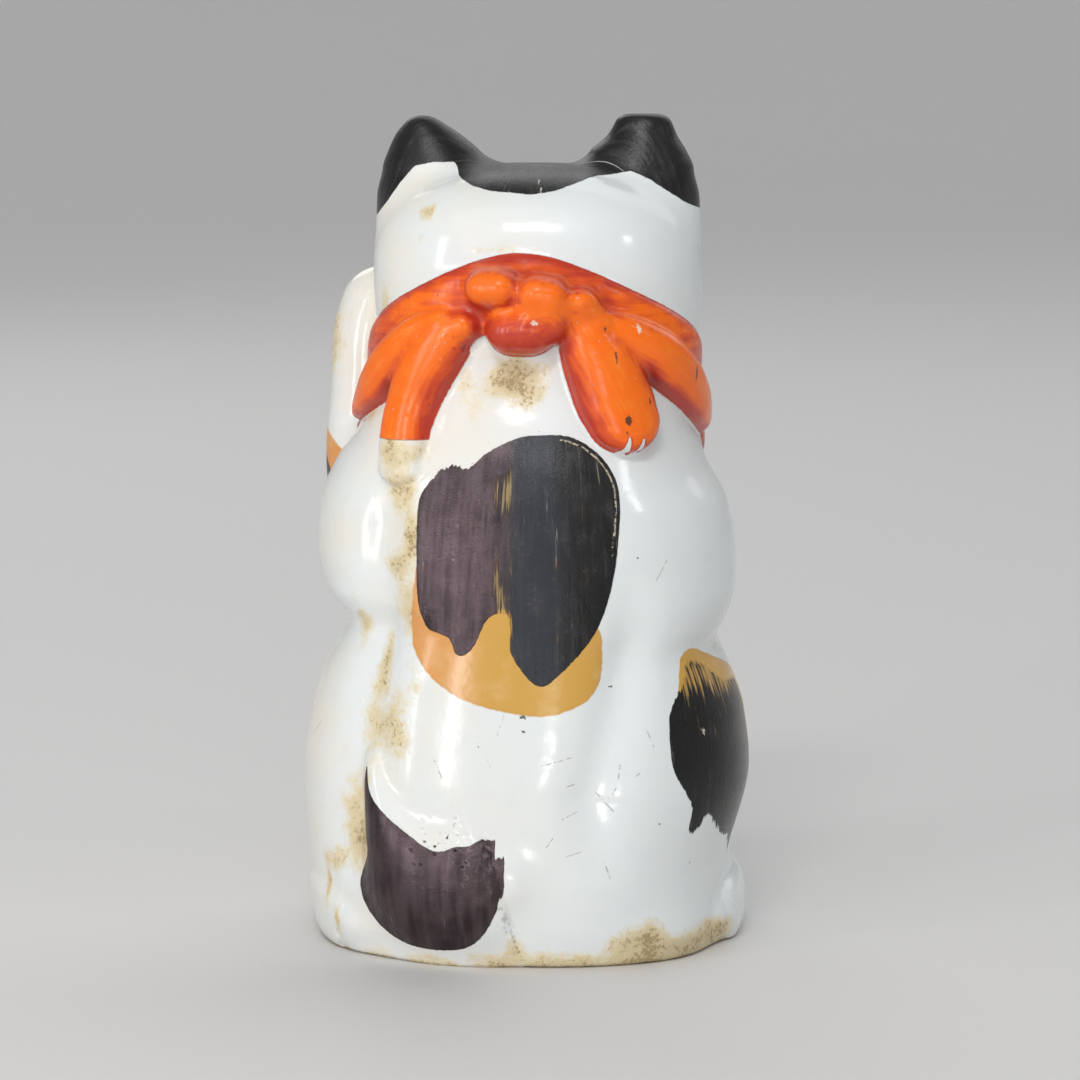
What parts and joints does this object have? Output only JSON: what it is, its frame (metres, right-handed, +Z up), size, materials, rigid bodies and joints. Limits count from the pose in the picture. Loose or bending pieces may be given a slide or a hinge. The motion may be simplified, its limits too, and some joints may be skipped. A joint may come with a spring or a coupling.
{
  "type": "beckoning cat figurine",
  "caption": "Hollow glazed porcelain cat sitting upright with its left paw raised and a red ribbon tied in a bow at the back of its neck.",
  "frame": {"origin": "on the table under the middle of the figurine", "axes": "+Z up; the cat faces -Y, its raised left arm is on the +X side and the bow and tail are on the +Y side"},
  "size_m": [0.0651, 0.0635, 0.12],
  "materials": {
    "white_glaze": "gloss white glaze over porcelain, stained in the creases",
    "black_enamel": "brushed black overglaze enamel, glossy, worn at the edges",
    "red_enamel": "orange-red overglaze enamel, glossy, darker in the recesses",
    "gilt": "rubbed gilding over glaze",
    "bib_enamel": "blue overglaze enamel",
    "unglazed_clay": "bare fired clay, stained"
  },
  "bodies": {
    "root": {"back_shell": "white_glaze", "front_shell": "white_glaze", "base_slab": "unglazed_clay", "seam_coil": "unglazed_clay", "left_ear": "black_enamel", "right_ear": "black_enamel", "raised_left_arm": "white_glaze", "right_foreleg": "white_glaze", "left_hind_paw": "white_glaze", "right_hind_paw": "white_glaze", "tail": "black_enamel", "collar_band": "red_enamel", "bow_knot_left": "red_enamel", "bow_knot_right": "red_enamel", "bow_knot_lower": "red_enamel", "bow_left_loop": "red_enamel", "bow_right_loop": "red_enamel", "bow_left_tail": "red_enamel", "bow_right_tail": "red_enamel", "bell": "gilt", "bib": "bib_enamel"}
  },
  "joints": []
}
